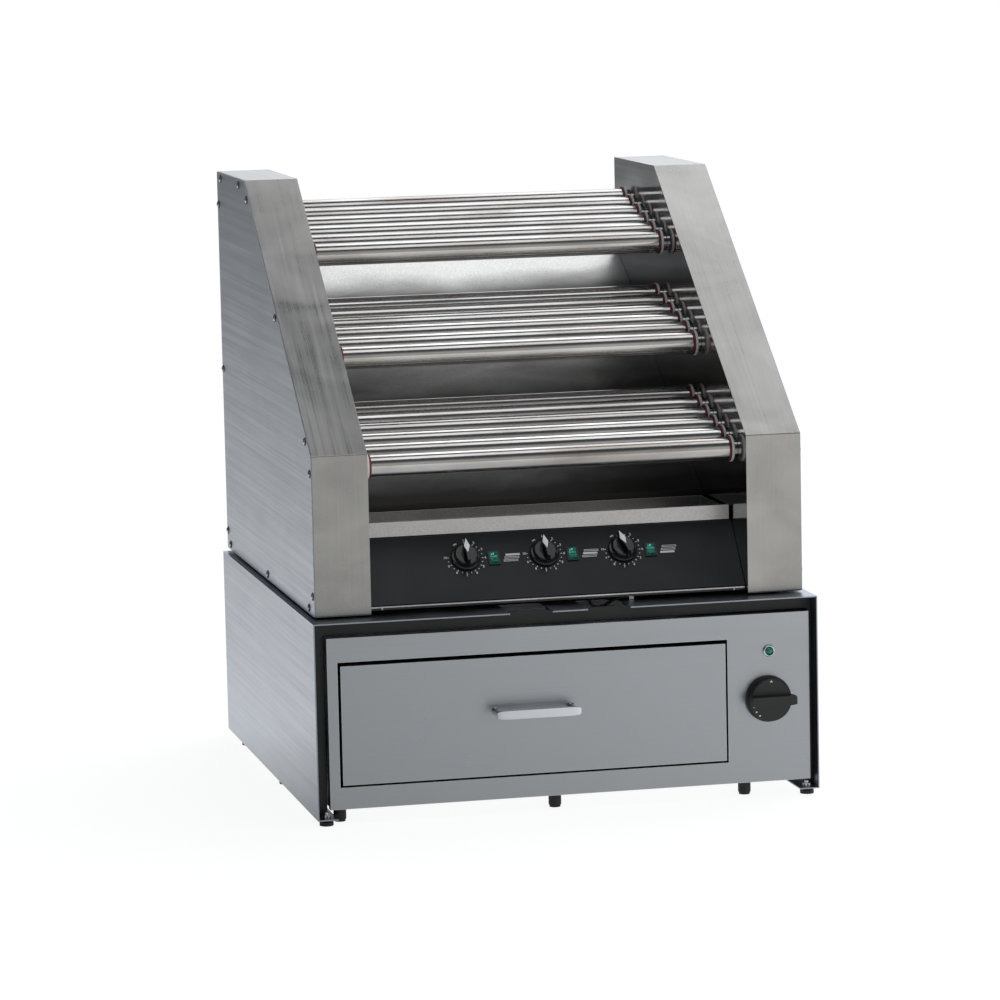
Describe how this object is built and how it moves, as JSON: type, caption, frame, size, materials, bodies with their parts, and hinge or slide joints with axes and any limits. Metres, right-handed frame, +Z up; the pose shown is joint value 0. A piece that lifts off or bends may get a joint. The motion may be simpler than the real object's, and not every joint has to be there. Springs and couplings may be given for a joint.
{
  "type": "hot dog roller grill",
  "caption": "Stepped roller grill: tiers of driven polished rollers between two wedge-shaped steel housings, with a sloping control panel, on a stand that holds a bun warmer drawer.",
  "frame": {"origin": "on the floor under the feet, at the middle of the whole object's width and depth", "axes": "+X to the operator's right, +Y to the back, +Z up; the drawer and controls face -Y"},
  "size_m": [0.66, 0.72, 0.79],
  "materials": {
    "stand_steel": "satin",
    "grill_steel": "satin",
    "warmer_steel": "brushed, grain across",
    "wall_steel": "polished",
    "roller_steel": "polished",
    "handle_chrome": "polished",
    "hidden_steel": "plain zinc plate",
    "tray_steel": "satin",
    "black_paint": "satin",
    "black_frame": "semi-gloss",
    "knob_plastic": "gloss",
    "switch_plastic": "satin",
    "green_lens": "clear green",
    "foot_rubber": "matte",
    "seal_silicone": "satin",
    "bearing_ptfe": "waxy",
    "screw_steel": "bright",
    "lead_rubber": "matte"
  },
  "bodies": {
    "root": {"stand_cover": "stand_steel", "stand_face_frame": "black_frame", "feet": "foot_rubber", "warmer_cabinet": "warmer_steel", "warmer_front": "warmer_steel", "drawer_runners": "hidden_steel", "warmer_heater": "hidden_steel", "warmer_lamp_bezel": "handle_chrome", "warmer_lamp_lens": "green_lens", "left_wrap": "grill_steel", "right_wrap": "grill_steel", "left_side_cover": "stand_steel", "right_side_cover": "stand_steel", "left_bearing_plate": "wall_steel", "right_bearing_plate": "wall_steel", "back_panel": "grill_steel", "base_pan": "grill_steel", "deflectors": "grill_steel", "control_panel": "black_paint", "thermostats": "hidden_steel", "switch_bezels": "switch_plastic", "roller_bearings": "bearing_ptfe", "roller_seals": "seal_silicone", "heater_rods": "hidden_steel", "drive_chains": "hidden_steel", "gearmotors": "hidden_steel", "cover_screws": "screw_steel", "control_lead": "lead_rubber"},
    "roller_bottom_1": {"roller_bottom_1": "roller_steel"},
    "roller_bottom_2": {"roller_bottom_2": "roller_steel"},
    "roller_bottom_3": {"roller_bottom_3": "roller_steel"},
    "roller_bottom_4": {"roller_bottom_4": "roller_steel"},
    "roller_bottom_5": {"roller_bottom_5": "roller_steel"},
    "roller_bottom_6": {"roller_bottom_6": "roller_steel"},
    "drive_sprocket_bottom": {"drive_sprocket_bottom": "hidden_steel"},
    "heat_knob_bottom": {"heat_knob_bottom": "knob_plastic"},
    "rocker_bottom": {"rocker_bottom": "green_lens"},
    "roller_middle_1": {"roller_middle_1": "roller_steel"},
    "roller_middle_2": {"roller_middle_2": "roller_steel"},
    "roller_middle_3": {"roller_middle_3": "roller_steel"},
    "roller_middle_4": {"roller_middle_4": "roller_steel"},
    "roller_middle_5": {"roller_middle_5": "roller_steel"},
    "roller_middle_6": {"roller_middle_6": "roller_steel"},
    "drive_sprocket_middle": {"drive_sprocket_middle": "hidden_steel"},
    "heat_knob_middle": {"heat_knob_middle": "knob_plastic"},
    "rocker_middle": {"rocker_middle": "green_lens"},
    "roller_top_1": {"roller_top_1": "roller_steel"},
    "roller_top_2": {"roller_top_2": "roller_steel"},
    "roller_top_3": {"roller_top_3": "roller_steel"},
    "roller_top_4": {"roller_top_4": "roller_steel"},
    "roller_top_5": {"roller_top_5": "roller_steel"},
    "roller_top_6": {"roller_top_6": "roller_steel"},
    "drive_sprocket_top": {"drive_sprocket_top": "hidden_steel"},
    "heat_knob_top": {"heat_knob_top": "knob_plastic"},
    "rocker_top": {"rocker_top": "green_lens"},
    "warmer_knob": {"warmer_knob": "knob_plastic"},
    "drawer": {"drawer_front": "warmer_steel", "drawer_tub": "tray_steel", "drawer_handle": "handle_chrome"},
    "drip_tray": {"drip_tray": "tray_steel"}
  },
  "joints": [
    {"name": "bottom_roller_1_spin", "type": "hinge", "parent": "root", "child": "roller_bottom_1", "pos_m": [0, -0.249, 0.446], "axis": [1, 0, 0], "continuous": true},
    {"name": "bottom_roller_2_spin", "type": "hinge", "parent": "root", "child": "roller_bottom_2", "pos_m": [0, -0.21071, 0.45526], "axis": [1, 0, 0], "continuous": true},
    {"name": "bottom_roller_3_spin", "type": "hinge", "parent": "root", "child": "roller_bottom_3", "pos_m": [0, -0.17241, 0.46453], "axis": [1, 0, 0], "continuous": true},
    {"name": "bottom_roller_4_spin", "type": "hinge", "parent": "root", "child": "roller_bottom_4", "pos_m": [0, -0.13411, 0.47379], "axis": [1, 0, 0], "continuous": true},
    {"name": "bottom_roller_5_spin", "type": "hinge", "parent": "root", "child": "roller_bottom_5", "pos_m": [0, -0.09582, 0.48306], "axis": [1, 0, 0], "continuous": true},
    {"name": "bottom_roller_6_spin", "type": "hinge", "parent": "root", "child": "roller_bottom_6", "pos_m": [0, -0.05752, 0.49232], "axis": [1, 0, 0], "continuous": true},
    {"name": "bottom_drive_spin", "type": "hinge", "parent": "root", "child": "drive_sprocket_bottom", "pos_m": [0.29, -0.1368, 0.40112], "axis": [1, 0, 0], "continuous": true},
    {"name": "middle_roller_1_spin", "type": "hinge", "parent": "root", "child": "roller_middle_1", "pos_m": [0, -0.08, 0.568], "axis": [1, 0, 0], "continuous": true},
    {"name": "middle_roller_2_spin", "type": "hinge", "parent": "root", "child": "roller_middle_2", "pos_m": [0, -0.0417, 0.57727], "axis": [1, 0, 0], "continuous": true},
    {"name": "middle_roller_3_spin", "type": "hinge", "parent": "root", "child": "roller_middle_3", "pos_m": [0, -0.00341, 0.58653], "axis": [1, 0, 0], "continuous": true},
    {"name": "middle_roller_4_spin", "type": "hinge", "parent": "root", "child": "roller_middle_4", "pos_m": [0, 0.03489, 0.59579], "axis": [1, 0, 0], "continuous": true},
    {"name": "middle_roller_5_spin", "type": "hinge", "parent": "root", "child": "roller_middle_5", "pos_m": [0, 0.07318, 0.60506], "axis": [1, 0, 0], "continuous": true},
    {"name": "middle_roller_6_spin", "type": "hinge", "parent": "root", "child": "roller_middle_6", "pos_m": [0, 0.11148, 0.61432], "axis": [1, 0, 0], "continuous": true},
    {"name": "middle_drive_spin", "type": "hinge", "parent": "root", "child": "drive_sprocket_middle", "pos_m": [0.29, 0.0322, 0.52312], "axis": [1, 0, 0], "continuous": true},
    {"name": "top_roller_1_spin", "type": "hinge", "parent": "root", "child": "roller_top_1", "pos_m": [0, 0.089, 0.69], "axis": [1, 0, 0], "continuous": true},
    {"name": "top_roller_2_spin", "type": "hinge", "parent": "root", "child": "roller_top_2", "pos_m": [0, 0.12729, 0.69927], "axis": [1, 0, 0], "continuous": true},
    {"name": "top_roller_3_spin", "type": "hinge", "parent": "root", "child": "roller_top_3", "pos_m": [0, 0.16559, 0.70853], "axis": [1, 0, 0], "continuous": true},
    {"name": "top_roller_4_spin", "type": "hinge", "parent": "root", "child": "roller_top_4", "pos_m": [0, 0.20389, 0.71779], "axis": [1, 0, 0], "continuous": true},
    {"name": "top_roller_5_spin", "type": "hinge", "parent": "root", "child": "roller_top_5", "pos_m": [0, 0.24218, 0.72706], "axis": [1, 0, 0], "continuous": true},
    {"name": "top_roller_6_spin", "type": "hinge", "parent": "root", "child": "roller_top_6", "pos_m": [0, 0.28048, 0.73632], "axis": [1, 0, 0], "continuous": true},
    {"name": "top_drive_spin", "type": "hinge", "parent": "root", "child": "drive_sprocket_top", "pos_m": [0.29, 0.2012, 0.64512], "axis": [1, 0, 0], "continuous": true},
    {"name": "bottom_heat_turn", "type": "hinge", "parent": "root", "child": "heat_knob_bottom", "pos_m": [0.095, -0.24496, 0.32104], "axis": [0, 0.766, -0.6428], "range_deg": [-9, 291]},
    {"name": "bottom_switch_tip", "type": "hinge", "parent": "root", "child": "rocker_bottom", "pos_m": [0.132, -0.24536, 0.31746], "axis": [1, 0, 0], "range_deg": [0, 14]},
    {"name": "middle_heat_turn", "type": "hinge", "parent": "root", "child": "heat_knob_middle", "pos_m": [-0.009, -0.24496, 0.32104], "axis": [0, 0.766, -0.6428], "range_deg": [-22, 278]},
    {"name": "middle_switch_tip", "type": "hinge", "parent": "root", "child": "rocker_middle", "pos_m": [0.028, -0.24536, 0.31746], "axis": [1, 0, 0], "range_deg": [0, 14]},
    {"name": "top_heat_turn", "type": "hinge", "parent": "root", "child": "heat_knob_top", "pos_m": [-0.113, -0.24496, 0.32104], "axis": [0, 0.766, -0.6428], "range_deg": [-27, 273]},
    {"name": "top_switch_tip", "type": "hinge", "parent": "root", "child": "rocker_top", "pos_m": [-0.076, -0.24536, 0.31746], "axis": [1, 0, 0], "range_deg": [0, 14]},
    {"name": "warmer_heat_turn", "type": "hinge", "parent": "root", "child": "warmer_knob", "pos_m": [0.265, -0.324, 0.1285], "axis": [0, 1, 0], "range_deg": [0, 300]},
    {"name": "drawer_slide", "type": "slide", "parent": "root", "child": "drawer", "axis": [0, -1, 0], "range_m": [0, 0.42]},
    {"name": "drip_tray_slide", "type": "slide", "parent": "root", "child": "drip_tray", "axis": [0, -1, 0], "range_m": [0, 0.24]}
  ],
  "couplings": [
    {"joint": "bottom_roller_2_spin", "follows": "bottom_roller_1_spin", "ratio": 1},
    {"joint": "bottom_roller_3_spin", "follows": "bottom_roller_1_spin", "ratio": 1},
    {"joint": "bottom_roller_4_spin", "follows": "bottom_roller_1_spin", "ratio": 1},
    {"joint": "bottom_roller_5_spin", "follows": "bottom_roller_1_spin", "ratio": 1},
    {"joint": "bottom_roller_6_spin", "follows": "bottom_roller_1_spin", "ratio": 1},
    {"joint": "bottom_drive_spin", "follows": "bottom_roller_1_spin", "ratio": 1},
    {"joint": "middle_roller_2_spin", "follows": "middle_roller_1_spin", "ratio": 1},
    {"joint": "middle_roller_3_spin", "follows": "middle_roller_1_spin", "ratio": 1},
    {"joint": "middle_roller_4_spin", "follows": "middle_roller_1_spin", "ratio": 1},
    {"joint": "middle_roller_5_spin", "follows": "middle_roller_1_spin", "ratio": 1},
    {"joint": "middle_roller_6_spin", "follows": "middle_roller_1_spin", "ratio": 1},
    {"joint": "middle_drive_spin", "follows": "middle_roller_1_spin", "ratio": 1},
    {"joint": "top_roller_2_spin", "follows": "top_roller_1_spin", "ratio": 1},
    {"joint": "top_roller_3_spin", "follows": "top_roller_1_spin", "ratio": 1},
    {"joint": "top_roller_4_spin", "follows": "top_roller_1_spin", "ratio": 1},
    {"joint": "top_roller_5_spin", "follows": "top_roller_1_spin", "ratio": 1},
    {"joint": "top_roller_6_spin", "follows": "top_roller_1_spin", "ratio": 1},
    {"joint": "top_drive_spin", "follows": "top_roller_1_spin", "ratio": 1}
  ]
}
